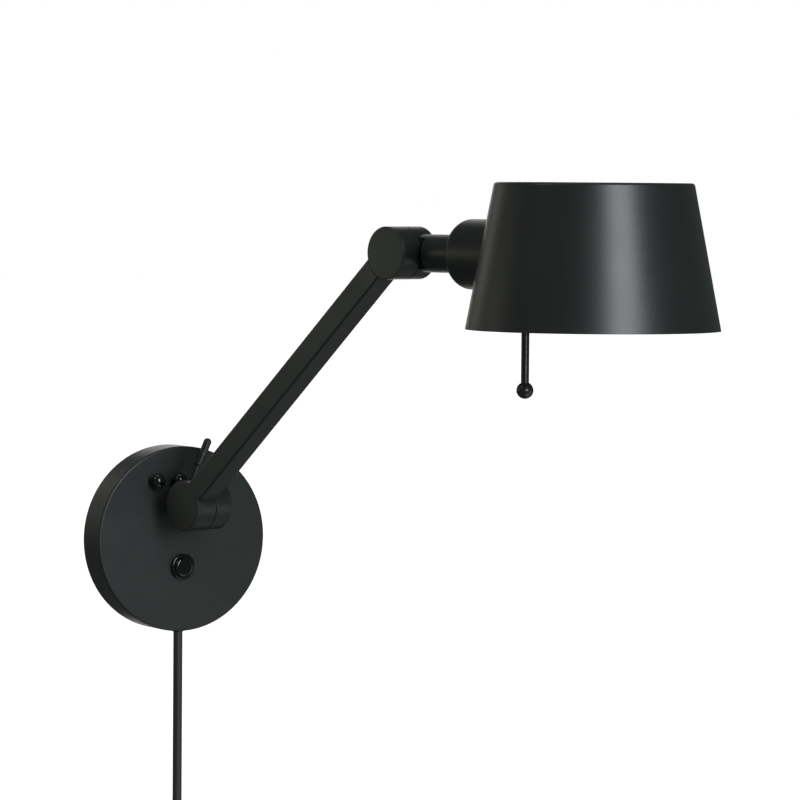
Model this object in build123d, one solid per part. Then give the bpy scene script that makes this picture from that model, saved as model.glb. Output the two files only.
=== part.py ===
"""Swing arm wall lamp: round canopy, square arm between two friction joints, conical shade.

Frame: millimetres, +Z up, the wall is the plane Y = 0 and the lamp stands out along -Y.
The origin is the centre of the canopy on the wall.
"""

import os
from math import cos, pi, radians, sin, tan

from build123d import *

os.makedirs("parts", exist_ok=True)

# ---- Driving dimensions (mm, degrees) ----
CANOPY_R = 62.5  # outer radius of the round canopy
CANOPY_D = 23.0  # how far its face stands from the wall
SHEET = 1.5  # canopy sheet thickness

SWING_Y = -31.0  # the vertical swing axis stands this far from the wall
SWING_Z = 25.0  # height of the swing joint above the canopy's centre
YAW = 12.5  # swing angle of the arm at rest, from straight out towards +X
REACH = 21.4  # from the swing axis to the lower tilt axis

JOINT_R = 16.7  # radius of both tilt joints
FAR_W = 13.4  # width of the half that carries the stub or the head tube
NEAR_W = 15.8  # width of the half that carries the square arm
JOINT_GAP = 0.5  # friction washer between the halves
CAP_T = 2.0  # joint end cap

ARM_SQ = 15.6  # square tube, across flats
ARM_WALL = 1.2
ARM_L = 261.0  # between the two tilt axes
ARM_EL = 41.0  # elevation of the arm at rest

TUBE_R = 12.0  # round head tube
NECK_END = 21.0  # the joint's neck is flat on one side up to here
CUP_BACK = 50.0  # from the elbow axis to the back of the lampholder cup
CUP_R = 22.0

SHADE_AT = 161.0  # from the elbow axis to the shade's own axis
SHADE_BOTTOM_R = 77.5
SHADE_TOP_R = 60.5
SHADE_LOW = -44.0  # rim below the head tube's axis
SHADE_HIGH = 45.0  # closed top above it
SHADE_T = 1.2
SHADE_SLOPE = (SHADE_BOTTOM_R - SHADE_TOP_R) / (SHADE_HIGH - SHADE_LOW)

HANDLE_AT = 103.0  # from the elbow axis to the hanging handle rod
HANDLE_R = 2.5
BALL_R = 5.3
BALL_Z = -82.8  # ball's centre below the head tube's axis

BUTTON_Z = -18.8
BALL_NUT_R = 5.25
BALL_NUTS = [(-20.9, 39.7), (-4.6, 39.7)]
BUTTON_R = 6.95
BEZEL_R = 8.9
LEVER_ANGLE = 24.5  # the swing joint's lever leans this far from straight up towards +X
LEVER_L = 37.6  # from the top of the fork to the lever's tip
LEVER_R = 2.65  # its round-ended grip

CORD_R = 3.1
CORD_Y = -17.3  # the cord leaves the rim's lowest point here
COIL_R = 35.5  # middle of the coil's turns
COIL_SECTION_R = 9.6
RUN = 0.05  # radial clearance of a running fit


# ---- Small helpers ----
def save(name, *solids):
    """Write one node's solids as parts/NAME.step."""
    shape = solids[0] if len(solids) == 1 else Compound(children=list(solids))
    export_step(shape, f"parts/{name}.step")


def rod_along(axis, radius, start, end, at=(0, 0)):
    """A round bar along X, Y or Z from start to end; at holds its other two coordinates."""
    low, high = min(start, end), max(start, end)
    bar = Cylinder(radius, high - low, align=(Align.CENTER, Align.CENTER, Align.MIN))
    if axis == "Z":
        return Pos(at[0], at[1], low) * bar
    if axis == "X":
        return Pos(low, at[0], at[1]) * Rot(0, 90, 0) * bar
    return Pos(at[0], high, at[1]) * Rot(90, 0, 0) * bar


def block(x, y, z):
    """A box between the two values given for each axis."""
    size = (x[1] - x[0], y[1] - y[0], z[1] - z[0])
    centre = ((x[0] + x[1]) / 2, (y[0] + y[1]) / 2, (z[0] + z[1]) / 2)
    return Pos(*centre) * Box(*size)


def hexagon(axis, across, start, end, at=(0, 0)):
    """A hexagonal prism along Y or Z."""
    low, high = min(start, end), max(start, end)
    prism = extrude(RegularPolygon(across / 2, 6, major_radius=False), high - low)
    if axis == "Z":
        return Pos(at[0], at[1], low) * prism
    return Pos(at[0], high, at[1]) * Rot(90, 0, 0) * prism


def turned(outline, axis):
    """A solid turned from an outline of (radius, distance) points about Z, then laid on axis."""
    wire = Polyline(*[(r, 0, d) for r, d in outline], close=True)
    solid = revolve(make_face(wire), Axis.Z)
    if axis == "Z":
        return solid
    return Rot(90, 0, 0) * solid  # distance now runs along -Y


def edges_at(shape, kind, axis, value):
    """Edges of one geometry kind whose centre lies at a value along an axis."""
    return shape.edges().filter_by(kind).filter_by_position(axis, value - 0.01, value + 0.01)


def swept(points, radii, radius):
    """A round cord along straight runs and tangent arcs."""
    path = FilletPolyline(*points, radius=radii)
    start = Plane(origin=path @ 0, z_dir=path % 0)
    return sweep(start * Circle(radius), path=path)


def arc_radii(points, share=0.45):
    """The largest tangent arc that the two runs at each corner allow."""
    radii = []
    for before, here, after in zip(points, points[1:], points[2:]):
        run_in = Vector(*here) - Vector(*before)
        run_out = Vector(*after) - Vector(*here)
        turn = radians(run_in.get_angle(run_out))
        radii.append(share * min(run_in.length, run_out.length) / tan(turn / 2))
    return radii


# ---- Places: the swinging assembly is drawn straight out, then turned by YAW ----
SWUNG = Location((0, SWING_Y, SWING_Z), (0, 0, YAW))
LOWER_Y = -REACH
ELBOW_Y = -REACH - ARM_L * cos(radians(ARM_EL))
ELBOW_Z = ARM_L * sin(radians(ARM_EL))
AT_LOWER = SWUNG * Pos(0, LOWER_Y, 0)
AT_ELBOW = SWUNG * Pos(0, ELBOW_Y, ELBOW_Z)

NEAR_FROM = -FAR_W / 2 - JOINT_GAP - NEAR_W
NEAR_TO = -FAR_W / 2 - JOINT_GAP
ARM_X = (NEAR_FROM + NEAR_TO) / 2


# ---- Wall side ----
def wall_plate():
    """Steel disc that is screwed to the wall: wire hole, two slots, two holes for the studs."""
    plate = rod_along("Y", 56, -1.5, 0)
    plate -= rod_along("Y", 12, -2, 1)
    for x in (-41.5, 41.5):
        slot = block((x - 3.7, x + 3.7), (-2, 1), (-2.3, 2.3))
        slot += rod_along("Y", 2.3, -2, 1, (x - 3.7, 0)) + rod_along("Y", 2.3, -2, 1, (x + 3.7, 0))
        plate -= slot
    for x, z in BALL_NUTS:
        plate -= rod_along("Y", 2.0, -2, 1, (x, z))
    return plate


def canopy_studs():
    """Threaded studs from the wall plate through the canopy's face."""
    return [rod_along("Y", 2.0, -CANOPY_D - 5, 0, at) for at in BALL_NUTS]


def canopy_shell():
    """Spun steel cup, open towards the wall, with its holes."""
    cup = rod_along("Y", CANOPY_R, -CANOPY_D, 0)
    cup = fillet(edges_at(cup, GeomType.CIRCLE, Axis.Y, -CANOPY_D), 1.4)
    hollow = rod_along("Y", CANOPY_R - SHEET, -CANOPY_D + SHEET, 1)
    hollow = fillet(edges_at(hollow, GeomType.CIRCLE, Axis.Y, -CANOPY_D + SHEET), 0.6)
    cup -= hollow
    through = (-CANOPY_D - 1, -CANOPY_D + 3)
    for at in BALL_NUTS:
        cup -= rod_along("Y", 2.2, *through, at)
    cup -= rod_along("Y", 5.1, *through, (0, SWING_Z))
    cup -= rod_along("Y", BUTTON_R + 0.75, *through, (0, BUTTON_Z))
    cup -= rod_along("Z", 3.9, -CANOPY_R - 1, -CANOPY_R + 5, (0, CORD_Y))
    return cup


def ball_nuts():
    """Round ball nuts with a short collar, threaded on the studs."""
    nuts = []
    for x, z in BALL_NUTS:
        ball = Pos(x, -CANOPY_D - 4.2, z) * Sphere(BALL_NUT_R)
        nut = ball + rod_along("Y", 4.2, -CANOPY_D - 3, -CANOPY_D - 0.02, (x, z))
        nut -= rod_along("Y", BALL_NUT_R + 2, -CANOPY_D - 0.02, -CANOPY_D + 3, (x, z))
        nuts.append(nut - rod_along("Y", 2.0, -CANOPY_D - 5, -CANOPY_D, (x, z)))
    return nuts


# ---- Swing joint ----
LUG_IN = 6.1
LUG_OUT = 8.6
LUG_R = 5.5
PIN_R = 2.0


def swing_fork():
    """Fork with two lugs for the vertical pin, on a hollow threaded shank."""
    boss = rod_along("Y", 8.5, -CANOPY_D - 1.2, -CANOPY_D - 0.02, (0, SWING_Z))
    shank = rod_along("Y", 5.0, -CANOPY_D - 1, -9, (0, SWING_Z))
    web = block((-LUG_R, LUG_R), (-25.2, -CANOPY_D - 0.5), (SWING_Z - LUG_OUT, SWING_Z + LUG_OUT))
    fork = boss + shank + web
    for side in (-1, 1):
        low, high = sorted((SWING_Z + side * LUG_IN, SWING_Z + side * LUG_OUT))
        fork += block((-LUG_R, LUG_R), (SWING_Y, -24), (low, high))
        fork += rod_along("Z", LUG_R, low, high, (0, SWING_Y))
    fork -= rod_along("Z", PIN_R, SWING_Z - 12, SWING_Z + 12, (0, SWING_Y))
    fork -= rod_along("Y", 3.0, -26, -5, (0, SWING_Z))
    return fork


def swing_fork_nut():
    """Hexagonal nut that pulls the fork against the canopy's face."""
    nut = hexagon("Y", 16, -CANOPY_D + SHEET + 0.02, -17.5, (0, SWING_Z))
    return nut - rod_along("Y", 5.0, -CANOPY_D, -10, (0, SWING_Z))


def swing_pin():
    """Pin of the swing joint, headed below; the lever turns on its upper end."""
    pin = rod_along("Z", PIN_R, SWING_Z - LUG_OUT, SWING_Z + LUG_OUT + 1.2, (0, SWING_Y))
    return pin + rod_along("Z", 3.2, SWING_Z - 9.6, SWING_Z - LUG_OUT, (0, SWING_Y))


def swing_lock_lever():
    """Lever that clamps the swing joint: a round hub, a thin neck and a round-ended grip."""
    top = SWING_Z + LUG_OUT
    at = (0, SWING_Y)
    hub = rod_along("Z", 3.2, top + 0.05, top + 0.8, at)
    hub += (Pos(*at, top + 0.6) * Sphere(2.7)) & block((-4, 4), (SWING_Y - 4, SWING_Y + 4), (top + 0.05, top + 5))
    grip = rod_along("Z", LEVER_R, 17.5, LEVER_L)
    grip = fillet(edges_at(grip, GeomType.CIRCLE, Axis.Z, LEVER_L), LEVER_R - 0.1)
    grip = fillet(edges_at(grip, GeomType.CIRCLE, Axis.Z, 17.5), 0.9)
    stem = rod_along("Z", 1.75, 1.5, 20) + grip
    lever = hub + Location((*at, top), (0, LEVER_ANGLE, 0)) * stem
    return lever - rod_along("Z", PIN_R + RUN, top - 1, top + 1.3, at)


def swing_washers():
    """Thin washers above and below the barrel; they turn with it."""
    washers = []
    for side in (-1, 1):
        ring = rod_along("Z", LUG_R - 0.2, side * 5.6, side * 6.05)
        washers.append(SWUNG * (ring - rod_along("Z", PIN_R + RUN, -7, 7)))
    return washers


# ---- Tilt joints: each is drawn about the X axis at its own centre ----
BOLT_R = 4.0
HEAD_R = 7.0
COUNTER_R = 8.0
COUNTER_D = 7.0


def half(x_from, x_to, outer_side):
    """One half of a tilt joint: a drum with a bolt hole and a counterbore at its outer end."""
    drum = rod_along("X", JOINT_R, x_from, x_to)
    drum = fillet(edges_at(drum, GeomType.CIRCLE, Axis.X, x_from), 0.35)
    drum = fillet(edges_at(drum, GeomType.CIRCLE, Axis.X, x_to), 0.35)
    drum -= rod_along("X", BOLT_R + (RUN if outer_side < 0 else 0), x_from - 1, x_to + 1)
    outer = x_from if outer_side < 0 else x_to
    drum -= rod_along("X", COUNTER_R, outer + outer_side, outer - outer_side * COUNTER_D)
    return drum


def near_half():
    """Half that carries the arm; its outer end is closed by a cap."""
    return half(NEAR_FROM + CAP_T, NEAR_TO, -1)


def far_half():
    """Half on the other side; its outer end is closed by a cap."""
    return half(-FAR_W / 2, FAR_W / 2 - CAP_T, 1)


def joint_cap(side):
    """End cap: a disc with a rounded edge and a short plug."""
    if side < 0:
        inner, outer = NEAR_FROM + CAP_T, NEAR_FROM
    else:
        inner, outer = FAR_W / 2 - CAP_T, FAR_W / 2
    cap = rod_along("X", JOINT_R, inner, outer)
    cap = fillet(edges_at(cap, GeomType.CIRCLE, Axis.X, outer), 0.7)
    cap = fillet(edges_at(cap, GeomType.CIRCLE, Axis.X, inner), 0.25)
    return cap + rod_along("X", COUNTER_R, inner, inner - side * 1.2)


def pivot_bolt():
    """Shoulder bolt through both halves; its head sits in the arm half's counterbore."""
    head_face = NEAR_FROM + CAP_T + COUNTER_D - 0.05
    bolt = rod_along("X", BOLT_R, head_face - 1, FAR_W / 2 - CAP_T - 1.4)
    bolt += rod_along("X", HEAD_R, head_face - 4.2, head_face)
    socket = Pos(head_face - 4.2, 0, 0) * Rot(0, 90, 0) * extrude(RegularPolygon(2.5, 6), 2.4)
    return bolt - socket


def pivot_nut():
    """Lock nut in the other half's counterbore."""
    end = FAR_W / 2 - CAP_T
    nut = Pos(end - 5.4, 0, 0) * Rot(0, 90, 0) * extrude(RegularPolygon(7.2, 6), 3.8)
    return nut - rod_along("X", BOLT_R, end - 9, end)


def pivot_spring_washer():
    """Dished spring washer under the nut."""
    floor = FAR_W / 2 - CAP_T - COUNTER_D
    outline = [(BOLT_R, floor + 0.9), (7.4, floor), (7.4, floor + 0.7), (BOLT_R, floor + 1.5)]
    wire = Polyline(*[(d, r, 0) for r, d in outline], close=True)
    return revolve(make_face(wire), Axis.X)


def friction_washer():
    """Flat washer between the halves; it stays with the far half."""
    ring = rod_along("X", JOINT_R - 1.2, -FAR_W / 2 - JOINT_GAP + 0.05, -FAR_W / 2)
    return ring - rod_along("X", BOLT_R, -10, 0)


def tilt_joint_hardware(prefix, place):
    """Bolt, nut and washers of one tilt joint."""
    save(f"{prefix}_pivot_bolt", place * pivot_bolt())
    save(f"{prefix}_pivot_nut", place * pivot_nut())
    save(f"{prefix}_spring_washer", place * pivot_spring_washer())
    save(f"{prefix}_friction_washer", place * friction_washer())


def base_knuckle():
    """Far half of the lower joint with the swing barrel behind it."""
    body = Pos(0, LOWER_Y, 0) * far_half()
    barrel = rod_along("Z", LUG_R - 0.2, -5.55, 5.55)
    neck = block((-4.6, 4.6), (-8.5, 0), (-5.55, 5.55))
    body += barrel + neck
    return SWUNG * (body - rod_along("Z", PIN_R + RUN, -7, 7))


# ---- Arm: drawn along -Y from the lower joint's centre, then raised by ARM_EL ----
RAISED = Rot(-ARM_EL, 0, 0)
SPIGOT_SQ = ARM_SQ - 2 * ARM_WALL
SPIGOT_END = 40.0
WIRE_R = 1.1


def square_bar(side, start, end):
    """A square bar along -Y in the arm's own plane."""
    half_side = side / 2
    return block((ARM_X - half_side, ARM_X + half_side), (-end, -start), (-half_side, half_side))


def arm_tube():
    """Square tube, coped at both ends to fit round the joint drums."""
    tube = square_bar(ARM_SQ, 8, ARM_L - 8)
    tube = fillet(tube.edges().filter_by(Axis.Y), 1.4)
    tube -= square_bar(SPIGOT_SQ, 0, ARM_L)
    for y in (0, -ARM_L):
        tube -= rod_along("X", JOINT_R + 0.02, NEAR_FROM - 2, NEAR_TO + 2, (y, 0))
    for y in (-30, -ARM_L + 30):
        tube -= rod_along("X", 2.0, ARM_X, NEAR_TO + 2, (y, 0))
    return RAISED * tube


def arm_knuckle():
    """Near half of a joint with the square spigot that fits the tube."""
    body = near_half() + square_bar(SPIGOT_SQ, 10, SPIGOT_END)
    body -= rod_along("Y", 3.2, -SPIGOT_END - 1, -COUNTER_R, (ARM_X, 0))
    body -= rod_along("X", BOLT_R + RUN, NEAR_FROM - 1, NEAR_TO + 1)
    body -= rod_along("X", 2.0, ARM_X + 3, NEAR_TO + 2, (-30, 0))
    return body - rod_along("X", JOINT_R + 0.05, NEAR_FROM - 1, NEAR_FROM + CAP_T)


def arm_screws():
    """Grub screws that hold the tube on its spigots."""
    screws = []
    for y in (-30, -ARM_L + 30):
        screw = rod_along("X", 2.0, ARM_X + 3.3, ARM_X + ARM_SQ / 2 - 0.3, (y, 0))
        screws.append(AT_LOWER * RAISED * screw)
    return screws


def arm_leads():
    """Two insulated wires inside the tube."""
    wires = []
    for dx in (-1.2, 1.2):
        wire = rod_along("Y", WIRE_R, -ARM_L + 12, -12, (ARM_X + dx, 0))
        wires.append(AT_LOWER * RAISED * wire)
    return wires


# ---- Head: drawn along -Y from the elbow's centre ----
def head_knuckle():
    """Far half of the elbow with a round neck, flat beside the arm half, and a spigot."""
    neck = rod_along("Y", TUBE_R - 0.05, -NECK_END, -10)
    neck -= block((-20, -FAR_W / 2), (-NECK_END - 1, 0), (-20, 20))
    spigot = rod_along("Y", TUBE_R - ARM_WALL - 0.3, -NECK_END - 12, -NECK_END + 1)
    spigot -= block((-20, -FAR_W / 2), (-NECK_END + 0.01, 0), (-20, 20))
    body = far_half() + neck + spigot
    body -= rod_along("X", COUNTER_R, FAR_W / 2 - CAP_T - COUNTER_D, FAR_W / 2 + 1)
    body -= rod_along("X", BOLT_R, -10, 10)
    body -= rod_along("X", JOINT_R + 0.3, FAR_W / 2 - CAP_T - 0.01, FAR_W / 2 + 30)
    return body - rod_along("Y", 3.0, -NECK_END - 13, -9)


def head_tube():
    """Round tube between the elbow and the lampholder cup."""
    tube = rod_along("Y", TUBE_R, -CUP_BACK + 0.2, -NECK_END)
    return tube - rod_along("Y", TUBE_R - ARM_WALL - 0.3, -CUP_BACK, 0)


def swivel_spindle():
    """Plug in the tube's end with the hollow spindle that the cup turns on."""
    plug = rod_along("Y", TUBE_R - ARM_WALL - 0.3, -CUP_BACK + 0.2, -NECK_END - 13)
    spindle = rod_along("Y", 5.0, -60, -CUP_BACK + 1)
    return plug + spindle - rod_along("Y", 3.0, -61, -30)


CUP_WALL = 1.5
CUP_FLOOR = 2.4


def swivel_nut():
    """Lock nut on the spindle, inside the cup."""
    nut = hexagon("Y", 15, -CUP_BACK - CUP_FLOOR - 5.4, -CUP_BACK - CUP_FLOOR - 1.4)
    return nut - rod_along("Y", 5.0, -70, -40)


def swivel_washer():
    """Spring washer under the nut."""
    ring = rod_along("Y", 8.2, -CUP_BACK - CUP_FLOOR - 1.35, -CUP_BACK - CUP_FLOOR - 0.05)
    return ring - rod_along("Y", 5.0, -70, -40)


def shade_cone(shift):
    """The solid cone of the shade's outer surface, moved outwards by shift."""
    return Pos(0, -SHADE_AT, 0) * turned(
        [
            (0, SHADE_LOW - 5),
            (SHADE_BOTTOM_R + shift + 5 * SHADE_SLOPE, SHADE_LOW - 5),
            (SHADE_TOP_R + shift - 5 * SHADE_SLOPE, SHADE_HIGH + 5),
            (0, SHADE_HIGH + 5),
        ],
        "Z",
    )


SLEEVE_R = 18.0


def lampholder_cup():
    """Round-backed housing of the lampholder, coped to the shade's side."""
    cup = rod_along("Y", CUP_R, -110, -CUP_BACK)
    cup = fillet(edges_at(cup, GeomType.CIRCLE, Axis.Y, -CUP_BACK), 6.0)
    hollow = rod_along("Y", CUP_R - CUP_WALL, -111, -CUP_BACK - CUP_FLOOR)
    hollow = fillet(edges_at(hollow, GeomType.CIRCLE, Axis.Y, -CUP_BACK - CUP_FLOOR), 4.5)
    cup -= hollow + rod_along("Y", 5.0 + RUN, -70, -40)
    return cup - shade_cone(0.05)


def lampholder_body():
    """Insulating body with the outer sleeve that passes through the shade."""
    body = rod_along("Y", CUP_R - CUP_WALL - 1.0, -80, -64)
    body += rod_along("Y", SLEEVE_R, -110, -80)
    body -= rod_along("Y", 14.2, -111, -74)
    return body


def lampholder_contacts():
    """Threaded metal shell and the centre contact."""
    shell = rod_along("Y", 14.1, -104, -76) - rod_along("Y", 13.55, -105, -70)
    tongue = rod_along("Y", 3.0, -77.5, -74.05)
    return [shell, tongue]


def shade_shell():
    """Conical shade with a closed flat top, a turned-in rim and the side hole."""
    outer = [(0, SHADE_LOW), (SHADE_BOTTOM_R, SHADE_LOW), (SHADE_TOP_R, SHADE_HIGH), (0, SHADE_HIGH)]
    solid = turned(outer, "Z")
    solid = fillet(edges_at(solid, GeomType.CIRCLE, Axis.Z, SHADE_HIGH), 2.2)
    roof = SHADE_HIGH - SHADE_T
    low_r = SHADE_BOTTOM_R - SHADE_T + SHADE_SLOPE
    roof_r = SHADE_TOP_R - SHADE_T + SHADE_T * SHADE_SLOPE
    hollow = turned([(0, SHADE_LOW - 1), (low_r, SHADE_LOW - 1), (roof_r, roof), (0, roof)], "Z")
    hollow = fillet(edges_at(hollow, GeomType.CIRCLE, Axis.Z, roof), 1.2)
    solid -= hollow
    rim_r = SHADE_BOTTOM_R - SHADE_T - 1.6
    rim_out = SHADE_BOTTOM_R - 0.4
    rim_top = SHADE_LOW + 1.0
    solid += turned([(rim_r, SHADE_LOW), (rim_out, SHADE_LOW), (rim_out, rim_top), (rim_r, rim_top)], "Z")
    solid = Pos(0, -SHADE_AT, 0) * solid
    return solid - rod_along("Y", SLEEVE_R + 0.2, -120, -60)


SADDLE_FLAT = 98.2  # flat face of the saddle ring, from the elbow axis
RING_NUT_END = 100.3
COLLAR_END = 106.0
COLLAR_R = SLEEVE_R + 3.4


def shade_saddle_ring():
    """Spacer inside the shade, coped to its wall on one side and flat on the other."""
    ring = rod_along("Y", SLEEVE_R + 5, -SADDLE_FLAT, -84) - rod_along("Y", SLEEVE_R + 0.05, -120, -60)
    return ring & shade_cone(-SHADE_T - 0.08)


def shade_ring_nut():
    """Ring nut that holds the shade on the lampholder's sleeve."""
    ring = rod_along("Y", SLEEVE_R + 4.4, -RING_NUT_END, -SADDLE_FLAT - 0.02)
    return ring - rod_along("Y", SLEEVE_R, -120, -60)


def bulb_cap():
    """Screw cap of the lamp bulb, with shallow thread rings."""
    outline = [(0, 78), (4.5, 78), (4.5, 80), (10, 84), (12.9, 85)]
    for k in range(5):
        outline += [(13.3, 87 + 4 * k), (12.5, 89 + 4 * k)]
    outline += [(12.9, 108), (12.9, 112), (0, 112)]
    return turned(outline, "Y")


def bulb_globe():
    """Frosted globe of the bulb, a smooth profile turned about the head's axis."""
    profile = Spline(
        (12.8, 0, 112),
        (17.5, 0, 128),
        (27.0, 0, 149),
        (30.0, 0, 168),
        (23.0, 0, 189),
        (0, 0, 198),
        tangents=((0.1, 0, 1), (-1, 0, 0)),
    )
    closing = [Line((0, 0, 198), (0, 0, 112.02)), Line((0, 0, 112.02), (12.8, 0, 112))]
    return Rot(90, 0, 0) * revolve(make_face([profile, *closing]), Axis.Z)


def handle_collar():
    """Ring on the sleeve's end that carries the hanging handle."""
    collar = rod_along("Y", COLLAR_R, -COLLAR_END, -RING_NUT_END - 0.1)
    collar -= rod_along("Y", SLEEVE_R, -120, -60)
    return collar - rod_along("Z", HANDLE_R, -30, -17, (0, -HANDLE_AT))


def handle_rod():
    """Straight rod that hangs below the shade."""
    return rod_along("Z", HANDLE_R, BALL_Z + 1.5, -SLEEVE_R - 0.6, (0, -HANDLE_AT))


def handle_ball():
    """Ball on the rod's end."""
    ball = Pos(0, -HANDLE_AT, BALL_Z) * Sphere(BALL_R)
    return ball - rod_along("Z", HANDLE_R, BALL_Z + 1.5, BALL_Z + 10, (0, -HANDLE_AT))


# ---- Switches ----
def switch_bezel():
    """Polished ring with a threaded barrel through the canopy's face."""
    ring = rod_along("Y", BEZEL_R, -CANOPY_D - 2.6, -CANOPY_D - 0.02, (0, BUTTON_Z))
    ring = fillet(edges_at(ring, GeomType.CIRCLE, Axis.Y, -CANOPY_D - 2.6), 1.1)
    ring += rod_along("Y", BUTTON_R + 0.65, -CANOPY_D - 0.1, -12, (0, BUTTON_Z))
    return ring - rod_along("Y", BUTTON_R + 0.1, -CANOPY_D - 4, -11, (0, BUTTON_Z))


def switch_ring_nut():
    """Nut on the bezel's barrel inside the canopy."""
    nut = hexagon("Y", 2 * BEZEL_R + 1.2, -CANOPY_D + SHEET + 0.02, -18.4, (0, BUTTON_Z))
    return nut - rod_along("Y", BUTTON_R + 0.65, -30, 0, (0, BUTTON_Z))


def switch_button():
    """Domed push button on a guided stem."""
    top = -CANOPY_D - 4.4
    button = rod_along("Y", BUTTON_R, top, -19, (0, BUTTON_Z))
    button = fillet(edges_at(button, GeomType.CIRCLE, Axis.Y, top), 2.0)
    return button + rod_along("Y", 1.8, -19.5, -12.5, (0, BUTTON_Z))


def switch_body():
    """Switch module behind the bezel, with two terminals."""
    body = block((-6.4, 6.4), (-11.98, -3.5), (BUTTON_Z - 6.4, BUTTON_Z + 6.4))
    body += rod_along("Y", BUTTON_R + 0.05, -13.6, -11.9, (0, BUTTON_Z))
    body -= rod_along("Y", 1.9, -14, -7, (0, BUTTON_Z))
    for x in (-3, 3):
        body += block((x - 0.4, x + 0.4), (-3.6, -1.9), (BUTTON_Z - 2, BUTTON_Z + 2))
    return body


def switch_spring():
    """Return spring round the button's stem, at its pressed length."""
    coil = Helix(pitch=0.9, height=1.9, radius=3.1)
    wire = sweep(Plane(origin=coil @ 0, z_dir=coil % 0) * Circle(0.3), path=coil)
    return Pos(0, -14.0, BUTTON_Z) * Rot(90, 0, 0) * wire


def terminal_block():
    """Two-pole terminal block beside the switch."""
    body = block((-38, -18), (-13, -3), (-38, -24))
    for x in (-33, -23):
        body -= rod_along("Y", 2.0, -14, -8, (x, -31))
        body -= rod_along("Z", 1.5, -39, -23, (x, -6))
    return body


def strain_relief():
    """Tapered bush that grips the cord inside the rim; a thin lip shows outside."""
    at = (0, CORD_Y)
    lip = CANOPY_R + 0.5
    taper = turned([(0, -60.6), (3.9, -60.6), (3.6, -38), (0, -38)], "Z")
    flange = rod_along("Z", 5.4, -60.6, -58.8)
    bush = Pos(0, CORD_Y, 0) * (taper + flange) + rod_along("Z", 3.85, -lip, -60.6, at)
    bush = bush & block((-20, 20), (-CANOPY_D + SHEET + 0.1, 0), (-70, 0))
    return bush - rod_along("Z", CORD_R, -70, 0, at)


def canopy_leads():
    """Insulated wires between the cord, the terminal block, the switch and the arm."""
    routes = [
        [(-1.4, -16, -37.9), (-1.4, -16, -34), (-8, -9, -30), (-17.9, -8, -29)],
        [(1.4, -16, -37.9), (1.4, -16, -34.2), (4, -10, -31), (3, -8, -26.0)],
        [(-28, -8, -23.9), (-28, -6, -5), (-14, -5, 14), (0, -5, 25), (0, -12, 25)],
    ]
    return [swept(route, arc_radii(route), 1.0) for route in routes]


# ---- Mains cord: hangs straight down, then goes into a tied coil with its plug below ----
COIL_Z = -262.0  # the coil's centre hangs straight below the cord's exit
COIL_TURNS = 7
TIE_AT = 65.0  # the tie holds the cord's two ends and the turns, this far round from the top to -X
TIE_RING = 38.5
TIE_INNER = 12.6
TIE_ARC = 30.0
TAIL_X = -48.1  # the tail leaves the coil's outside and hangs straight down
TAIL_END_Z = -300.0
CORD_ROUTE = [(0, -52.0), (0, -199.0), (-30.0, -224.5), (-37.9, -244.3)]  # X and Z of its corners
TAIL_ROUTE = [(-44.0, -244.0), (TAIL_X, -262.0), (TAIL_X, TAIL_END_Z)]
PLUG_RELIEF = 22.0
PLUG_SIZE = (35.0, 13.6, 30.0)
PIN_SPACING = 18.6


def in_cord_plane(route):
    """The route's corners in the plane that the cord hangs in."""
    return [(x, CORD_Y, z) for x, z in route]


def cord_coil():
    """The outer shape of the tied coil."""
    return Pos(0, CORD_Y, COIL_Z) * Rot(90, 0, 0) * Torus(COIL_R, COIL_SECTION_R)


def cord_tie():
    """Strap round the coil's turns."""
    section = Plane.XY * Pos(TIE_RING, 0, 0) * (Circle(TIE_INNER + 1.0) - Circle(TIE_INNER))
    band = Rot(0, 270 - TIE_AT - TIE_ARC / 2, 0) * revolve(section, Axis.Y, revolution_arc=TIE_ARC)
    return Pos(0, CORD_Y, COIL_Z) * band


def plug_body():
    """Flat moulded plug with a tapered strain relief."""
    at = (TAIL_X, CORD_Y)
    low = TAIL_END_Z - PLUG_RELIEF
    relief = Pos(*at, 0) * turned([(0, low - 1), (5.2, low - 1), (3.9, TAIL_END_Z), (0, TAIL_END_Z)], "Z")
    x, y, z = PLUG_SIZE
    body = Pos(*at, low - z / 2) * Box(x, y, z)
    body = fillet(body.edges().filter_by(Axis.Z), 5.0)
    body = fillet(body.faces().sort_by(Axis.Z)[-1].edges(), 3.0)
    body = fillet(body.faces().sort_by(Axis.Z)[0].edges(), 0.8)
    return body + relief


def plug_pins():
    """Two round pins."""
    low = TAIL_END_Z - PLUG_RELIEF - PLUG_SIZE[2]
    pins = []
    for dx in (-PIN_SPACING / 2, PIN_SPACING / 2):
        pin = rod_along("Z", 2.0, low - 19, low - 0.02, (TAIL_X + dx, CORD_Y))
        pins.append(fillet(edges_at(pin, GeomType.CIRCLE, Axis.Z, low - 19), 1.4))
    return pins


# ---- Write every node ----
def write_wall_side():
    save("wall_plate", wall_plate())
    save("canopy_studs", *canopy_studs())
    save("canopy_shell", canopy_shell())
    save("canopy_ball_nuts", *ball_nuts())
    save("swing_fork", swing_fork())
    save("swing_fork_nut", swing_fork_nut())
    save("swing_pin", swing_pin())
    save("switch_bezel", switch_bezel())
    save("switch_ring_nut", switch_ring_nut())
    save("switch_body", switch_body())
    save("switch_spring", switch_spring())
    save("switch_button", switch_button())
    save("swing_lock_lever", swing_lock_lever())
    save("terminal_block", terminal_block())
    save("canopy_leads", *canopy_leads())
    save("cord_strain_relief", strain_relief())


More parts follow.
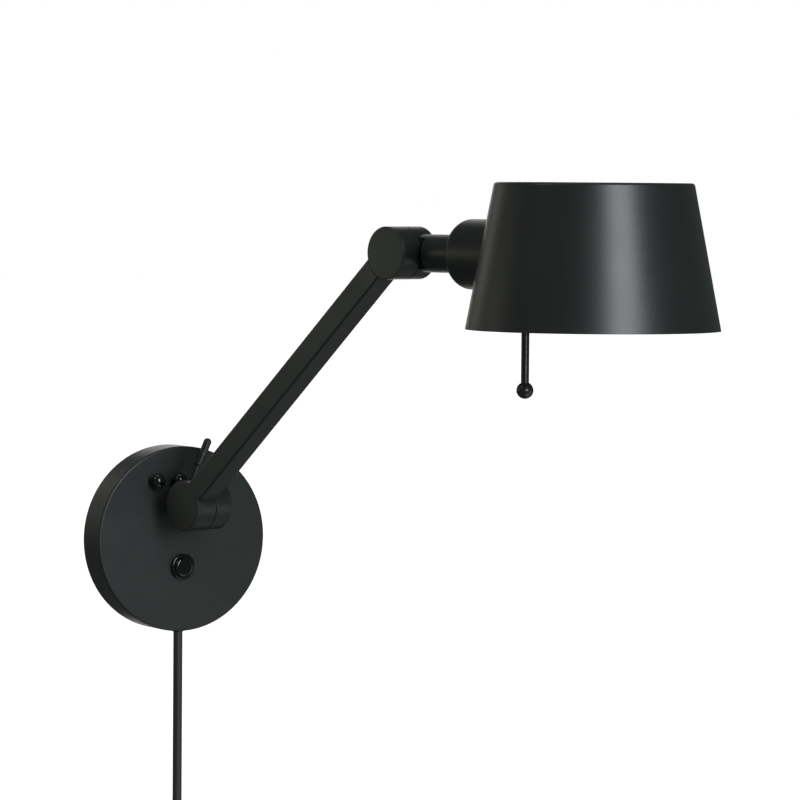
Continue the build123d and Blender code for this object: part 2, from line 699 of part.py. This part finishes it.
def write_cord():
    for name, corners in (("mains_cord", CORD_ROUTE), ("cord_tail", TAIL_ROUTE)):
        route = in_cord_plane(corners)
        radii = arc_radii(route)
        tube = swept(route, radii, CORD_R)
        length = FilletPolyline(*route, radius=radii).length
        section = pi * CORD_R**2
        print(name, "arc radii", [round(r, 1) for r in radii], "length", round(length, 1))
        print(name, "volume over section times length", round(tube.volume / (section * length), 4))
        save(name, tube)
    save("cord_coil", cord_coil())
    save("cord_tie", cord_tie())
    save("plug_body", plug_body())
    save("plug_pins", *plug_pins())
    print("coil", round(COIL_TURNS * 2 * pi * COIL_R))


def write_swinging():
    save("base_knuckle", base_knuckle())
    save("swing_washers", *swing_washers())
    save("base_cap_wall_side", AT_LOWER * joint_cap(1))
    tilt_joint_hardware("base", AT_LOWER)
    save("arm_tube", AT_LOWER * arm_tube())
    save("arm_lower_knuckle", AT_LOWER * RAISED * arm_knuckle())
    save("arm_upper_knuckle", AT_ELBOW * Rot(180 - ARM_EL, 0, 0) * arm_knuckle())
    save("arm_screws", *arm_screws())
    save("arm_leads", *arm_leads())
    save("base_cap_arm_side", AT_LOWER * joint_cap(-1))
    save("elbow_cap_arm_side", AT_ELBOW * joint_cap(-1))


def write_head():
    save("head_knuckle", AT_ELBOW * head_knuckle())
    save("elbow_cap_head_side", AT_ELBOW * joint_cap(1))
    tilt_joint_hardware("elbow", AT_ELBOW)
    save("head_tube", AT_ELBOW * head_tube())
    save("swivel_spindle", AT_ELBOW * swivel_spindle())
    save("swivel_nut", AT_ELBOW * swivel_nut())
    save("swivel_washer", AT_ELBOW * swivel_washer())
    save("lampholder_cup", AT_ELBOW * lampholder_cup())
    save("lampholder_body", AT_ELBOW * lampholder_body())
    save("lampholder_contacts", *[AT_ELBOW * solid for solid in lampholder_contacts()])
    save("shade_shell", AT_ELBOW * shade_shell())
    save("shade_saddle_ring", AT_ELBOW * shade_saddle_ring())
    save("shade_ring_nut", AT_ELBOW * shade_ring_nut())
    save("bulb_screw_cap", AT_ELBOW * bulb_cap())
    save("bulb_globe", AT_ELBOW * bulb_globe())
    save("handle_collar", AT_ELBOW * handle_collar())
    save("handle_rod", AT_ELBOW * handle_rod())
    save("handle_ball", AT_ELBOW * handle_ball())


write_wall_side()
write_cord()
write_swinging()
write_head()
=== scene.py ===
"""Looks of the swing arm wall lamp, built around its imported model, in metres in the model's frame.

+Z is up, the wall is the plane Y = 0 and the lamp stands out along -Y.
"""

import math

import bmesh
import bpy
from mathutils import Matrix, Vector


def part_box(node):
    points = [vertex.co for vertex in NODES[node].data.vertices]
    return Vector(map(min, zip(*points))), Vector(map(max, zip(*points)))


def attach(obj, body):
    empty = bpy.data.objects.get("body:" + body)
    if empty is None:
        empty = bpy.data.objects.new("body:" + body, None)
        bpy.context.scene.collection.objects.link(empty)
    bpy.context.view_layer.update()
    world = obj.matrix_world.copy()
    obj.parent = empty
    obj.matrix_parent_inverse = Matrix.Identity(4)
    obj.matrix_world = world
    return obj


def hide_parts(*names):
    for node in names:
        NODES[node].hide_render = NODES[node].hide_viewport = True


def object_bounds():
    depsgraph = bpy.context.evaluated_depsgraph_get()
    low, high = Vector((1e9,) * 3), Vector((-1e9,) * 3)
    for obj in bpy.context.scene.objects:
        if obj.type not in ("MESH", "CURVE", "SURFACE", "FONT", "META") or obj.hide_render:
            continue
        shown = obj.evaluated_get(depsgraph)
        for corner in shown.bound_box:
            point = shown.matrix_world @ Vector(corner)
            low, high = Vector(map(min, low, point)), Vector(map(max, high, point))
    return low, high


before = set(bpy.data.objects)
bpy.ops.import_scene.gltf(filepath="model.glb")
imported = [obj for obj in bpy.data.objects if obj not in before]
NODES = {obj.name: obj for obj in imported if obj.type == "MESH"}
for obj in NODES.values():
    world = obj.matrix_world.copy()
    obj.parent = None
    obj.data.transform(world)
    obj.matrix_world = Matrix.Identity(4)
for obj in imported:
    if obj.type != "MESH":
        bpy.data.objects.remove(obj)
CAD_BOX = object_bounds()
SCENE = bpy.context.scene
MM = 0.001


# ---- Camera ----
CAMERA_PLACE = (-1.3004, -2.5313, 0.2357)
CAMERA_AZIMUTH = -30.365  # degrees from -Y towards +X
CAMERA_ELEVATION = 2.859
CAMERA_ROLL = 0.449
SENSOR_MM = 36
LENS_MM = 189


def add_camera():
    """Long lens from the left of the lamp, a little above it, with a slight roll."""
    azimuth, elevation = math.radians(CAMERA_AZIMUTH), math.radians(CAMERA_ELEVATION)
    roll = math.radians(CAMERA_ROLL)
    level = math.cos(elevation)
    back = Vector((math.sin(azimuth) * level, -math.cos(azimuth) * level, math.sin(elevation)))
    right = Vector((math.cos(azimuth), math.sin(azimuth), 0))
    up = back.cross(right)
    rolled_right = right * math.cos(roll) + up * math.sin(roll)
    rolled_up = up * math.cos(roll) - right * math.sin(roll)
    data = bpy.data.cameras.new("camera")
    data.sensor_width = SENSOR_MM
    data.lens = LENS_MM
    data.clip_end = 50
    camera = bpy.data.objects.new("camera", data)
    turn = Matrix((rolled_right, rolled_up, back)).transposed().to_4x4()
    camera.matrix_world = Matrix.Translation(CAMERA_PLACE) @ turn
    SCENE.collection.objects.link(camera)
    SCENE.camera = camera


# ---- Node materials ----
def new_material(name):
    """A node material with its node tree and its Principled shader."""
    material = bpy.data.materials.new(name)
    material.use_nodes = True
    tree = material.node_tree
    shader = tree.nodes["Principled BSDF"]
    return material, tree, shader


def add_node(tree, kind, **inputs):
    """A node with its inputs set by name."""
    node = tree.nodes.new(kind)
    for name, value in inputs.items():
        node.inputs[name.replace("_", " ")].default_value = value
    return node


def object_coords(tree):
    """The object coordinates of each surface point."""
    return tree.nodes.new("ShaderNodeTexCoord").outputs["Object"]


def noise(tree, vector, scale, detail=3.0, roughness=0.55):
    """A noise texture's value."""
    node = add_node(tree, "ShaderNodeTexNoise", Scale=scale, Detail=detail, Roughness=roughness)
    tree.links.new(vector, node.inputs["Vector"])
    return node.outputs["Fac"]


def remap(tree, value, low, high, start=0.3, end=0.7):
    """A value from start..end turned into low..high."""
    node = add_node(tree, "ShaderNodeMapRange")
    node.inputs["From Min"].default_value = start
    node.inputs["From Max"].default_value = end
    node.inputs["To Min"].default_value = low
    node.inputs["To Max"].default_value = high
    tree.links.new(value, node.inputs["Value"])
    return node.outputs["Result"]


def blend_colours(tree, factor, first, second):
    """A mix of two colours, each a tuple or a socket."""
    node = tree.nodes.new("ShaderNodeMix")
    node.data_type = "RGBA"
    for socket, colour in ((node.inputs["A"], first), (node.inputs["B"], second)):
        if isinstance(colour, tuple):
            socket.default_value = (*colour, 1)
        else:
            tree.links.new(colour, socket)
    tree.links.new(factor, node.inputs["Factor"])
    return node.outputs["Result"]


def add_bump(tree, shader, height, strength, distance):
    """A bump on the shader's normal."""
    bump = add_node(tree, "ShaderNodeBump", Strength=strength, Distance=distance)
    tree.links.new(height, bump.inputs["Height"])
    tree.links.new(bump.outputs["Normal"], shader.inputs["Normal"])


def finish_material(name, dark, light, rough, cloud=40.0, grain=1400.0, bump=0.05, depth=0.02 * MM, **extra):
    """A finish with soft colour clouds, uneven gloss and a fine surface grain; extra sets shader inputs."""
    material, tree, shader = new_material(name)
    vector = object_coords(tree)
    clouds = noise(tree, vector, cloud)
    tree.links.new(blend_colours(tree, clouds, dark, light), shader.inputs["Base Color"])
    tree.links.new(remap(tree, clouds, *rough), shader.inputs["Roughness"])
    add_bump(tree, shader, noise(tree, vector, grain, 2.0), bump, depth)
    for socket, value in extra.items():
        shader.inputs[socket.replace("_", " ")].default_value = value
    return material


SHADE_SLOPE = (77.5 - 60.5) / 89.0  # the rim's radius less the top's, over the height
SHADE_HALF_WALL = 0.7 * MM
SHADE_BLACK_EDGE = 0.8 * MM  # above the rim's lowest point


def shade_material(foot, height, rim_r):
    """Satin black paint outside and matte white inside, split by the distance from the cone's wall."""
    material, tree, shader = new_material("shade_paint")
    vector = object_coords(tree)
    shift = add_node(tree, "ShaderNodeVectorMath")
    shift.operation = "SUBTRACT"
    shift.inputs[1].default_value = foot
    tree.links.new(vector, shift.inputs[0])
    parts = tree.nodes.new("ShaderNodeSeparateXYZ")
    tree.links.new(shift.outputs["Vector"], parts.inputs["Vector"])

    def maths(operation, *values):
        node = tree.nodes.new("ShaderNodeMath")
        node.operation = operation
        for socket, value in zip(node.inputs, values):
            if isinstance(value, (int, float)):
                socket.default_value = value
            else:
                tree.links.new(value, socket)
        return node.outputs["Value"]

    x, y, z = parts.outputs["X"], parts.outputs["Y"], parts.outputs["Z"]
    radius = maths("SQRT", maths("ADD", maths("MULTIPLY", x, x), maths("MULTIPLY", y, y)))
    wall = maths("SUBTRACT", rim_r, maths("MULTIPLY", z, SHADE_SLOPE))
    inside_wall = maths("LESS_THAN", radius, maths("SUBTRACT", wall, SHADE_HALF_WALL))
    under_roof = maths("LESS_THAN", z, height - SHADE_HALF_WALL)
    above_rim = maths("GREATER_THAN", z, SHADE_BLACK_EDGE)
    inside = maths("MULTIPLY", maths("MULTIPLY", inside_wall, under_roof), above_rim)
    clouds = noise(tree, vector, 30.0)
    black = blend_colours(tree, clouds, (0.010, 0.0105, 0.0105), (0.013, 0.0135, 0.0135))
    white = blend_colours(tree, clouds, (0.80, 0.79, 0.76), (0.86, 0.85, 0.83))
    tree.links.new(blend_colours(tree, inside, black, white), shader.inputs["Base Color"])
    gloss = remap(tree, clouds, 0.345, 0.375)
    matte = remap(tree, clouds, 0.50, 0.56)
    mixed = tree.nodes.new("ShaderNodeMix")
    for socket, value in (("Factor", inside), ("A", gloss), ("B", matte)):
        tree.links.new(value, mixed.inputs[socket])
    tree.links.new(mixed.outputs["Result"], shader.inputs["Roughness"])
    add_bump(tree, shader, noise(tree, vector, 1300.0, 2.0), 0.05, 0.02 * MM)
    return material


def glass_material():
    """Frosted bulb: milky white under a thin clear coat."""
    material, tree, shader = new_material("bulb_frosted")
    vector = object_coords(tree)
    clouds = noise(tree, vector, 50.0)
    tree.links.new(
        blend_colours(tree, clouds, (0.88, 0.87, 0.83), (0.93, 0.92, 0.89)), shader.inputs["Base Color"]
    )
    tree.links.new(remap(tree, clouds, 0.16, 0.22), shader.inputs["Roughness"])
    shader.inputs["Subsurface Weight"].default_value = 0.3
    shader.inputs["Subsurface Radius"].default_value = (0.01, 0.01, 0.01)
    shader.inputs["Coat Weight"].default_value = 0.5
    shader.inputs["Coat Roughness"].default_value = 0.08
    add_bump(tree, shader, noise(tree, vector, 500.0, 2.0), 0.03, 0.02 * MM)
    return material


# ---- Lights, backdrop and floor ----
TARGET = Vector((0.03, -0.2, 0.12))


def add_softbox(name, azimuth, elevation, distance, size, power, colour):
    """A rectangular light aimed at the lamp's middle; azimuth is measured from -Y towards +X."""
    a, e = math.radians(azimuth), math.radians(elevation)
    direction = Vector((math.sin(a) * math.cos(e), -math.cos(a) * math.cos(e), math.sin(e)))
    data = bpy.data.lights.new(name, "AREA")
    data.shape = "RECTANGLE"
    data.size, data.size_y = size
    data.energy = power
    data.color = colour
    light = bpy.data.objects.new(name, data)
    light.location = TARGET + direction * distance
    light.rotation_mode = "QUATERNION"
    light.rotation_quaternion = (-direction).to_track_quat("-Z", "Y")
    SCENE.collection.objects.link(light)


def add_world(seen, lighting):
    """A white surround for the camera and a dimmer one for lighting."""
    world = bpy.data.worlds.new("surround")
    SCENE.world = world
    world.use_nodes = True
    tree = world.node_tree
    ground = tree.nodes["Background"]
    ground.inputs["Color"].default_value = (*lighting, 1)
    white = tree.nodes.new("ShaderNodeBackground")
    white.inputs["Color"].default_value = (*seen, 1)
    path = tree.nodes.new("ShaderNodeLightPath")
    mix = tree.nodes.new("ShaderNodeMixShader")
    tree.links.new(path.outputs["Is Camera Ray"], mix.inputs["Fac"])
    tree.links.new(ground.outputs["Background"], mix.inputs[1])
    tree.links.new(white.outputs["Background"], mix.inputs[2])
    tree.links.new(mix.outputs["Shader"], tree.nodes["World Output"].inputs["Surface"])


FLOOR_RADIUS = 30
FLOOR_DROP = 0.12  # below the plug's pins


def add_floor():
    """A wide pale floor as white as the surround, clear when looked at from below."""
    mesh = bpy.data.meshes.new("floor")
    shape = bmesh.new()
    bmesh.ops.create_circle(shape, cap_ends=True, segments=96, radius=FLOOR_RADIUS)
    shape.to_mesh(mesh)
    shape.free()
    floor = bpy.data.objects.new("floor", mesh)
    floor.location = (0, 0, CAD_BOX[0].z - FLOOR_DROP)
    SCENE.collection.objects.link(floor)
    floor.visible_diffuse = False
    floor.visible_glossy = False
    material, tree, shader = new_material("floor_paint")
    clouds = noise(tree, object_coords(tree), 3.0)
    paint_colour = blend_colours(tree, clouds, (0.55, 0.55, 0.55), (0.57, 0.57, 0.57))
    tree.links.new(paint_colour, shader.inputs["Base Color"])
    shader.inputs["Roughness"].default_value = 0.9
    shader.inputs["Specular IOR Level"].default_value = 0.0
    shader.inputs["Emission Color"].default_value = (1, 1, 1, 1)
    shader.inputs["Emission Strength"].default_value = 1.05
    facing = tree.nodes.new("ShaderNodeNewGeometry")
    clear = tree.nodes.new("ShaderNodeBsdfTransparent")
    mix = tree.nodes.new("ShaderNodeMixShader")
    tree.links.new(facing.outputs["Backfacing"], mix.inputs["Fac"])
    tree.links.new(shader.outputs["BSDF"], mix.inputs[1])
    tree.links.new(clear.outputs["BSDF"], mix.inputs[2])
    tree.links.new(mix.outputs["Shader"], tree.nodes["Material Output"].inputs["Surface"])
    mesh.materials.append(material)


# ---- Mains cable ----
CABLE_D = 6.2 * MM
CORD_Y = -17.3
COIL_Z = -262.0
COIL_R = 35.5
LANE = 6.3  # distance between neighbouring turns' centres
TIE_AT = 65.0
CORD_ROUTE = [(0, -63.2), (0, -159.6), (0, -199.0), (-30.0, -224.5)]
TAIL_X, TAIL_END_Z = -48.1, -300.0
TAIL_ROUTE = [(TAIL_X, -275.0), (TAIL_X, TAIL_END_Z)]
COIL_TURNS = 7
TURN_POINTS = 16
SWAP = 0.13  # share of a turn over which a strand changes places, under the tie


def ease(value):
    """A smooth step from 0 to 1."""
    value = min(max(value, 0.0), 1.0)
    return value * value * (3 - 2 * value)


def coil_points():
    """Turns twisted round each other: six round a middle one, their places changed under the tie."""
    widen = (3 + math.cos(2 * math.pi / TURN_POINTS)) / 4  # the spline runs inside its points
    points = []
    for step in range(-1, COIL_TURNS * TURN_POINTS + 2):
        turns = step / TURN_POINTS
        outside = 1 - ease((turns + SWAP) / (2 * SWAP))
        inwards = ease((turns - COIL_TURNS + 1 + SWAP) / SWAP)
        outwards = ease((turns - COIL_TURNS + SWAP) / SWAP)
        spread = LANE * (1 + outside - inwards + 2 * outwards)
        angle = math.radians(60 * turns) if outwards == 0 else 0
        radius = COIL_R + spread * math.cos(angle)
        round_coil = math.radians(TIE_AT) + 2 * math.pi * turns
        x = -radius * math.sin(round_coil) / widen
        z = COIL_Z + radius * math.cos(round_coil) / widen
        points.append((x, CORD_Y + spread * math.sin(angle), z))
    return points


def add_cable(material):
    """The mains cable as one spline: down from the canopy, round the coil, down to the plug."""
    route = [(x, CORD_Y, z) for x, z in CORD_ROUTE]
    route += coil_points()
    route += [(x, CORD_Y, z) for x, z in TAIL_ROUTE]
    curve = bpy.data.curves.new("mains_cable", "CURVE")
    curve.dimensions = "3D"
    spline = curve.splines.new("NURBS")
    spline.points.add(len(route) - 1)
    for point, place in zip(spline.points, route):
        point.co = (*[value * MM for value in place], 1)
    spline.order_u = 3
    spline.use_endpoint_u = True
    spline.resolution_u = 6
    curve.bevel_depth = CABLE_D / 2
    curve.bevel_resolution = 6
    curve.use_fill_caps = True
    curve.materials.append(material)
    cable = bpy.data.objects.new("mains_cable", curve)
    SCENE.collection.objects.link(cable)
    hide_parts("mains_cord", "cord_tail", "cord_coil")
    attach(cable, "canopy")
    return cable


# ---- Pieces with more detail than their CAD nodes ----
RELIEF_LENGTH = 22.0
RELIEF_R = (3.9, 5.2)  # at the cable and at the plug
RELIEF_RIBS = 9
RIB_PITCH = 2.25
PLUG_LOW = -352.0
PLUG_HALF = (17.5, 6.8)
PLUG_CORNER = 5.0
GRIP_GROOVES = 5
GROOVE_PITCH = 3.0
PIN_R = 2.0
SLEEVE_R = 1.9
PIN_LENGTH = 19.0
SLEEVE_LENGTH = 10.0
PIN_SPACING = 18.6
TIE_RING = 38.5
TIE_INNER = 12.6
FREE_END_START, FREE_END_SWEEP = 20, 98  # degrees round the tie
FREE_END_LIFT, FREE_END_WIDTH = 0.85, 0.86  # lift in mm, width as a share of the strap's


def mesh_piece(name, shape, material, body, slot, *nodes, smooth_under=35):
    """A finished mesh piece that stands in for CAD nodes."""
    mesh = bpy.data.meshes.new(name)
    bmesh.ops.recalc_face_normals(shape, faces=shape.faces)
    shape.to_mesh(mesh)
    shape.free()
    mesh.shade_smooth()
    mesh.set_sharp_from_angle(angle=math.radians(smooth_under))
    mesh.materials.append(material)
    piece = bpy.data.objects.new(name, mesh)
    SCENE.collection.objects.link(piece)
    if nodes:
        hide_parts(*nodes)
    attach(piece, body)
    return piece


def stack_rings(shape, rings, looped=False):
    """Faces between neighbouring rings of points; the stack meets itself or has closed ends."""
    rows = [[shape.verts.new(Vector(point) * MM) for point in ring] for ring in rings]
    for lower, upper in zip(rows, rows[1:] + rows[:1] if looped else rows[1:]):
        count = len(lower)
        for k in range(count):
            shape.faces.new((lower[k], lower[(k + 1) % count], upper[(k + 1) % count], upper[k]))
    if not looped:
        shape.faces.new(rows[0][::-1])
        shape.faces.new(rows[-1])


def rounded_ring(at, z, half_x, half_y, corner, steps=10):
    """A rounded rectangle of points at a height; a circle when all three sizes are the same."""
    corner = min(corner, half_x, half_y)
    ring = []
    for quarter, (sx, sy) in enumerate(((1, 1), (-1, 1), (-1, -1), (1, -1))):
        for step in range(steps + 1):
            angle = math.pi / 2 * (quarter + step / (steps + 0.001))
            x = sx * (half_x - corner) + corner * math.cos(angle)
            y = sy * (half_y - corner) + corner * math.sin(angle)
            ring.append((at[0] + x, at[1] + y, z))
    return ring


def round_rings(at, outline, steps=10):
    """Circles of points from (radius, height) pairs."""
    return [rounded_ring(at, z, radius, radius, radius, steps) for radius, z in outline]


def add_plug(plastic):
    """Flat moulded plug: a ribbed tapered relief on a body with finger grooves."""
    at = (TAIL_X, CORD_Y)
    low = TAIL_END_Z - RELIEF_LENGTH
    thin, thick = RELIEF_R
    outline = [(CABLE_D / 2 / MM + 0.12, TAIL_END_Z - 0.4), (3.75, TAIL_END_Z), (thin, TAIL_END_Z - 0.25)]
    for k in range(RELIEF_RIBS):
        top = TAIL_END_Z - 1.2 - RIB_PITCH * k
        wide = thin + (thick - thin) * (TAIL_END_Z - top) / RELIEF_LENGTH
        outline += [(wide, top), (wide - 0.55, top - 0.3), (wide - 0.5, top - 1.0), (wide + 0.07, top - 1.3)]
    rings = round_rings(at, outline)
    full = (*PLUG_HALF, PLUG_CORNER)
    grooved = (PLUG_HALF[0] - 0.35, PLUG_HALF[1] - 0.5, PLUG_CORNER - 0.2)
    sections = [(low, 9.5, 5.3, 5.0), (low - 0.25, 13.6, 5.9, 5.0), (low - 0.9, 15.9, 6.4, 5.0)]
    sections += [(low - 2.0, 17.1, 6.7, 5.0), (low - 3.2, *full)]
    for k in range(GRIP_GROOVES):
        top = low - 6.0 - GROOVE_PITCH * k
        sections += [(top, *full), (top - 0.5, *grooved), (top - 1.2, *grooved), (top - 1.7, *full)]
    sections += [(PLUG_LOW + 0.9, *full), (PLUG_LOW + 0.3, 17.3, 6.6, 4.8), (PLUG_LOW, 16.8, 6.1, 4.4)]
    rings += [rounded_ring(at, z, x, y, corner) for z, x, y, corner in sections]
    shape = bmesh.new()
    stack_rings(shape, rings[::-1])
    return mesh_piece("plug_moulding", shape, plastic, "canopy", "black_plastic", "plug_body")


def add_pins(chrome, plastic):
    """Two round pins, each with an insulating sleeve on the half beside the plug."""
    tips, sleeves = bmesh.new(), bmesh.new()
    top, end = PLUG_LOW - SLEEVE_LENGTH, PLUG_LOW - PIN_LENGTH
    for side in (-1, 1):
        at = (TAIL_X + side * PIN_SPACING / 2, CORD_Y)
        tip = [(0.6, end), (1.2, end + 0.15), (1.65, end + 0.6), (1.9, end + 1.3), (PIN_R, end + 2.2)]
        tip += [(PIN_R, top - 0.15), (SLEEVE_R, top), (1.5, top + 0.5)]
        stack_rings(tips, round_rings(at, tip, 6))
        sleeve = [(1.5, top + 0.05), (1.84, top + 0.05), (SLEEVE_R, top + 0.2), (SLEEVE_R, PLUG_LOW - 0.6)]
        sleeve += [(2.3, PLUG_LOW - 0.15), (2.3, PLUG_LOW + 0.4)]
        stack_rings(sleeves, round_rings(at, sleeve, 6))
    pins = mesh_piece("pin_metal", tips, chrome, "canopy", "chrome_pins", "plug_pins")
    return pins, mesh_piece("pin_sleeves", sleeves, plastic, "canopy", "black_plastic")


def strap_ring(angle, lift, taper, width):
    """One cross-section of the tie's strap: raised edges outside and flat inside."""
    middle = math.radians(TIE_AT)
    outwards = Vector((-math.sin(middle), 0, math.cos(middle)))
    along = Vector((math.cos(middle), 0, math.sin(middle)))
    hub = Vector((0, CORD_Y, COIL_Z)) + outwards * TIE_RING
    radial = outwards * math.cos(math.radians(angle)) + Vector((0, 1, 0)) * math.sin(math.radians(angle))
    across = [(-9.0, 0.15), (-8.7, 0.9), (-8.0, 1.0), (-7.4, 0.75)]
    across += [(-5.0, 0.72), (0.0, 0.7), (5.0, 0.72), (7.4, 0.75), (8.0, 1.0), (8.7, 0.9), (9.0, 0.15)]
    outside = [hub + radial * (TIE_INNER + lift + h * taper) + along * w * width for w, h in across]
    inside = [hub + radial * (TIE_INNER + lift * taper) + along * w * width for w in (9.0, -9.0)]
    return outside + inside


def add_tie(webbing):
    """Woven strap round the turns, with its free end laid over itself."""
    shape = bmesh.new()
    round_steps, end_steps = 96, 40
    turn = [strap_ring(-175 + 360 * k / round_steps, 0.0, 1.0, 1.0) for k in range(round_steps)]
    stack_rings(shape, turn, looped=True)
    free_end = []
    for k in range(end_steps + 1):
        taper = min(1.0, 0.35 + k / 3, 0.35 + (end_steps - k) / 3)
        angle = FREE_END_START + FREE_END_SWEEP * k / end_steps
        free_end.append(strap_ring(angle, FREE_END_LIFT, taper, FREE_END_WIDTH))
    stack_rings(shape, free_end)
    return mesh_piece("tie_strap", shape, webbing, "canopy", "black_plastic", "cord_tie")


# ---- Assembly ----
def paint(material, *names):
    """One material on several CAD nodes."""
    for name in names:
        NODES[name].data.materials.clear()
        NODES[name].data.materials.append(material)


def make_materials():
    """Every finish on the lamp."""
    black = {"dark": (0.0105, 0.0118, 0.0114), "light": (0.0135, 0.0150, 0.0144)}
    return {
        "satin": finish_material("black_satin", **black, rough=(0.40, 0.46)),
        "gloss": finish_material(
            "black_gloss", (0.004, 0.004, 0.004), (0.006, 0.006, 0.006), (0.10, 0.15), bump=0.02
        ),
        "lacquer": finish_material(
            "black_lacquer", (0.013, 0.013, 0.013), (0.017, 0.017, 0.017), (0.26, 0.31), bump=0.015
        ),
        "plastic": finish_material(
            "black_moulded", (0.012, 0.012, 0.012), (0.016, 0.016, 0.016), (0.36, 0.46), bump=0.12
        ),
        "cable": finish_material(
            "cable_sheath", (0.022, 0.022, 0.022), (0.030, 0.030, 0.030), (0.34, 0.44),
            cloud=60.0, grain=900.0, bump=0.08,
        ),
        "webbing": finish_material(
            "tie_webbing", (0.010, 0.010, 0.010), (0.020, 0.020, 0.020), (0.62, 0.78),
            cloud=900.0, grain=1900.0, bump=0.35, depth=0.2 * MM,
        ),
        "zinc": finish_material(
            "zinc_plate", (0.52, 0.53, 0.55), (0.64, 0.65, 0.67), (0.26, 0.40), cloud=120.0, Metallic=1.0
        ),
        "steel": finish_material(
            "steel", (0.50, 0.50, 0.51), (0.60, 0.60, 0.61), (0.22, 0.34), cloud=200.0, Metallic=1.0
        ),
        "brass": finish_material(
            "brass", (0.70, 0.50, 0.22), (0.80, 0.60, 0.30), (0.22, 0.34), cloud=150.0, Metallic=1.0
        ),
        "chrome": finish_material(
            "pin_plating", (0.66, 0.66, 0.68), (0.74, 0.74, 0.75), (0.12, 0.2), cloud=200.0, Metallic=1.0
        ),
        "nylon": finish_material(
            "nylon", (0.72, 0.71, 0.66), (0.80, 0.79, 0.75), (0.42, 0.52), bump=0.1
        ),
        "holder": finish_material(
            "holder_plastic", (0.70, 0.69, 0.65), (0.77, 0.76, 0.72), (0.38, 0.48), bump=0.1
        ),
        "copper_lead": finish_material(
            "lead_insulation", (0.16, 0.065, 0.03), (0.22, 0.09, 0.04), (0.36, 0.46), bump=0.05
        ),
        "bulb": glass_material(),
    }


def paint_nodes(finish):
    """The finish of every CAD node that keeps its own shape."""
    paint(
        finish["satin"], "canopy_shell", "swing_fork", "base_knuckle", "base_cap_wall_side", "arm_tube",
        "arm_lower_knuckle", "arm_upper_knuckle", "base_cap_arm_side", "elbow_cap_arm_side", "head_knuckle",
        "elbow_cap_head_side", "head_tube", "lampholder_cup", "handle_collar",
    )
    paint(finish["lacquer"], "handle_rod", "handle_ball", "swing_lock_lever")
    paint(finish["gloss"], "canopy_ball_nuts", "switch_bezel", "switch_button", "swing_pin")
    paint(finish["plastic"], "cord_strain_relief", "switch_body", "shade_saddle_ring")
    paint(finish["zinc"], "wall_plate", "canopy_studs", "swing_fork_nut", "switch_ring_nut")
    paint(finish["zinc"], "base_pivot_nut", "elbow_pivot_nut", "swivel_nut")
    paint(finish["steel"], "base_pivot_bolt", "elbow_pivot_bolt", "base_spring_washer", "elbow_spring_washer")
    paint(finish["steel"], "swivel_washer", "switch_spring", "arm_screws")
    paint(finish["brass"], "swivel_spindle", "lampholder_contacts", "bulb_screw_cap")
    paint(finish["nylon"], "swing_washers", "base_friction_washer", "elbow_friction_washer", "terminal_block")
    paint(finish["holder"], "lampholder_body", "shade_ring_nut")
    paint(finish["copper_lead"], "canopy_leads", "arm_leads")
    paint(finish["bulb"], "bulb_globe")
    low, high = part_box("shade_shell")
    centre = (low + high) / 2
    rim_r = (high.x - low.x) / 2
    foot = (centre.x, centre.y, low.z)
    paint(shade_material(foot, high.z - low.z, rim_r), "shade_shell")


def add_lights():
    """Soft boxes: a tall key in front and weaker ones beside, behind, below and above."""
    add_world((1.0, 1.0, 1.0), (0.105, 0.120, 0.115))
    add_softbox("key_strip", -2, 18, 2.2, (0.90, 1.6), 40, (0.90, 0.96, 1.0))
    add_softbox("left_box", -128, 5, 1.8, (0.8, 0.30), 1.4, (0.97, 1.0, 0.80))
    add_softbox("behind_left", -168, 14, 1.8, (0.5, 0.9), 0.9, (1.0, 0.96, 0.82))
    add_softbox("right_fill", 50, -18, 2.0, (0.7, 0.8), 3.2, (0.86, 1.0, 0.93))
    add_softbox("behind_right", 152, 4, 2.0, (0.9, 2.4), 10, (1.0, 1.0, 0.97))
    add_softbox("under_right", 112, -46, 1.8, (0.9, 0.9), 0.6, (1.0, 0.90, 0.98))
    add_softbox("small_left", -88, 42, 1.5, (0.22, 0.34), 1.3, (1.0, 1.0, 0.97))
    add_softbox("under_fill", 25, -55, 1.9, (1.3, 1.3), 5.5, (1.0, 1.0, 0.98))
    add_softbox("overhead", 180, 80, 1.9, (1.0, 1.0), 3.0, (1.0, 1.0, 0.92))


add_camera()
finish = make_materials()
cable = add_cable(finish["cable"])
plug = add_plug(finish["plastic"])
pins, sleeves = add_pins(finish["chrome"], finish["plastic"])
tie = add_tie(finish["webbing"])
paint_nodes(finish)
add_lights()
add_floor()
SCENE.view_settings.view_transform = "Standard"
